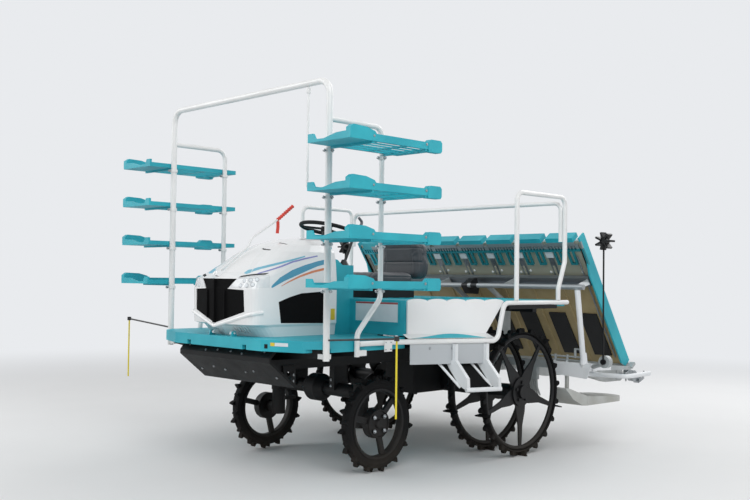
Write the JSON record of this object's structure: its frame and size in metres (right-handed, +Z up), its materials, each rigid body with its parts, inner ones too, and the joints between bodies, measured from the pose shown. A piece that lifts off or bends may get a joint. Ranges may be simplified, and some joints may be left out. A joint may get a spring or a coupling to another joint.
{
  "type": "riding rice transplanter",
  "caption": "Riding rice transplanter with steered front wheels, twin rear wheels, seedling racks over the front and a lifted planting unit with a sliding seedling table.",
  "frame": {"origin": "middle of the machine's plan on the ground", "axes": "+Z up, +Y towards the rear, +X to the driver's left"},
  "size_m": [3.0322, 3.6563, 2.5502],
  "materials": {
    "white_paint": "gloss powder coat",
    "white_plastic": "moulded gloss",
    "teal_plastic": "moulded satin",
    "black_paint": "satin",
    "black_plastic": "moulded",
    "rubber": "moulded rubber",
    "grey_vinyl": "vinyl",
    "lamp_plastic": "polished",
    "zinc": "zinc plated",
    "dark_iron": "painted casting",
    "grey_paint": "satin",
    "float_plastic": "blow moulded",
    "tan_plastic": "vacuum formed"
  },
  "bodies": {
    "chassis": {"main_frame": "black_paint", "engine_block": "dark_iron", "axle_cases": "dark_iron", "lower_guard": "black_paint", "front_deck": "teal_plastic", "rear_deck": "teal_plastic", "side_panels": "white_plastic", "side_tubes": "white_paint", "console": "teal_plastic", "steering_column": "black_plastic", "seat_cushion": "grey_vinyl", "seat_back": "grey_vinyl", "seat_pan": "black_paint", "rack_frame": "white_paint", "shelves": "teal_plastic", "safety_rails": "white_paint", "steps": "white_paint", "side_markers": "black_paint", "board_hanger": "white_paint"},
    "hood": {"hood_shell": "white_plastic", "hood_grille": "black_plastic", "headlamps": "lamp_plastic", "side_screens": "black_paint"},
    "pole": {"centre_pole": "white_paint"},
    "hand_wheel": {"steering_wheel": "black_plastic"},
    "knuckle_l": {"knuckle_left": "dark_iron"},
    "knuckle_r": {"knuckle_right": "dark_iron"},
    "front_wheel_l": {"front_rim_left": "black_paint", "front_tyre_left": "rubber"},
    "front_wheel_r": {"front_rim_right": "black_paint", "front_tyre_right": "rubber"},
    "rear_wheels_l": {"rear_rims_left": "black_paint", "rear_tyres_left": "rubber"},
    "rear_wheels_r": {"rear_rims_right": "black_paint", "rear_tyres_right": "rubber"},
    "lower_link_pair": {"lower_links": "black_paint"},
    "top_link": {"upper_link": "black_paint"},
    "barrel": {"lift_barrel": "black_paint"},
    "rod": {"lift_rod": "zinc"},
    "planting_unit": {"planter_frame": "grey_paint", "drive_cases": "grey_paint", "floats": "float_plastic"},
    "table": {"seedling_table": "tan_plastic", "table_trim": "teal_plastic", "table_belts": "rubber"},
    "heads": {"planting_heads": "zinc"},
    "marker_l": {"line_marker_left": "black_paint"},
    "marker_r": {"line_marker_right": "black_paint"}
  },
  "joints": [
    {"name": "hood_hinge", "type": "hinge", "parent": "chassis", "child": "hood", "pos_m": [0, -1.76194, 0.94], "axis": [1, 0, 0], "range_deg": [0, 50]},
    {"name": "pole_hinge", "type": "hinge", "parent": "hood", "child": "pole", "pos_m": [0, -1.81694, 1.33], "axis": [1, 0, 0], "range_deg": [0, 35]},
    {"name": "steer_left", "type": "hinge", "parent": "chassis", "child": "knuckle_l", "pos_m": [0.45, -0.91194, 0.4], "axis": [0, 0, 1], "range_deg": [-38, 38]},
    {"name": "steer_right", "type": "hinge", "parent": "chassis", "child": "knuckle_r", "pos_m": [-0.45, -0.91194, 0.4], "axis": [0, 0, 1], "range_deg": [-38, 38]},
    {"name": "hand_wheel_turn", "type": "hinge", "parent": "chassis", "child": "hand_wheel", "pos_m": [0, -0.85394, 1.668], "axis": [0, 0.2079, 0.9781], "range_deg": [-380, 380]},
    {"name": "front_spin_left", "type": "hinge", "parent": "knuckle_l", "child": "front_wheel_l", "pos_m": [0.6, -0.91194, 0.325], "axis": [1, 0, 0], "continuous": true},
    {"name": "front_spin_right", "type": "hinge", "parent": "knuckle_r", "child": "front_wheel_r", "pos_m": [-0.6, -0.91194, 0.325], "axis": [1, 0, 0], "continuous": true},
    {"name": "rear_spin_left", "type": "hinge", "parent": "chassis", "child": "rear_wheels_l", "pos_m": [0.73, 0.31806, 0.475], "axis": [1, 0, 0], "continuous": true},
    {"name": "rear_spin_right", "type": "hinge", "parent": "chassis", "child": "rear_wheels_r", "pos_m": [-0.73, 0.31806, 0.475], "axis": [1, 0, 0], "continuous": true},
    {"name": "lift", "type": "hinge", "parent": "chassis", "child": "lower_link_pair", "pos_m": [0, 0.46806, 0.6], "axis": [1, 0, 0], "range_deg": [-27, 0]},
    {"name": "top_link_turn", "type": "hinge", "parent": "chassis", "child": "top_link", "pos_m": [0, 0.46806, 0.9], "axis": [1, 0, 0], "range_deg": [-27, 0]},
    {"name": "unit_level", "type": "hinge", "parent": "lower_link_pair", "child": "planting_unit", "pos_m": [0, 1.05771, 0.79159], "axis": [1, 0, 0], "range_deg": [0, 27]},
    {"name": "barrel_turn", "type": "hinge", "parent": "chassis", "child": "barrel", "pos_m": [0, 0.08806, 0.88], "axis": [1, 0, 0], "range_deg": [-10, 1]},
    {"name": "rod_out", "type": "slide", "parent": "barrel", "child": "rod", "axis": [0, 0.9775, -0.2111], "range_m": [0, 0.09]},
    {"name": "table_travel", "type": "slide", "parent": "planting_unit", "child": "table", "axis": [1, 0, 0], "range_m": [0, 0.28]},
    {"name": "heads_spin", "type": "hinge", "parent": "planting_unit", "child": "heads", "pos_m": [0, 1.66194, 0.52246], "axis": [1, 0, 0], "continuous": true},
    {"name": "marker_left_swing", "type": "hinge", "parent": "planting_unit", "child": "marker_l", "pos_m": [1.4, 0.67106, 0.715], "axis": [0, 1, 0], "range_deg": [0, 95]},
    {"name": "marker_right_swing", "type": "hinge", "parent": "planting_unit", "child": "marker_r", "pos_m": [-1.4, 0.67106, 0.715], "axis": [0, -1, 0], "range_deg": [0, 95]}
  ],
  "couplings": [
    {"joint": "steer_right", "follows": "steer_left", "ratio": 1},
    {"joint": "hand_wheel_turn", "follows": "steer_left", "ratio": 10},
    {"joint": "top_link_turn", "follows": "lift", "ratio": 1},
    {"joint": "unit_level", "follows": "lift", "ratio": -1},
    {"joint": "barrel_turn", "follows": "lift", "ratio": 0.2922},
    {"joint": "rod_out", "follows": "lift", "m_per_rad": -0.16414}
  ]
}
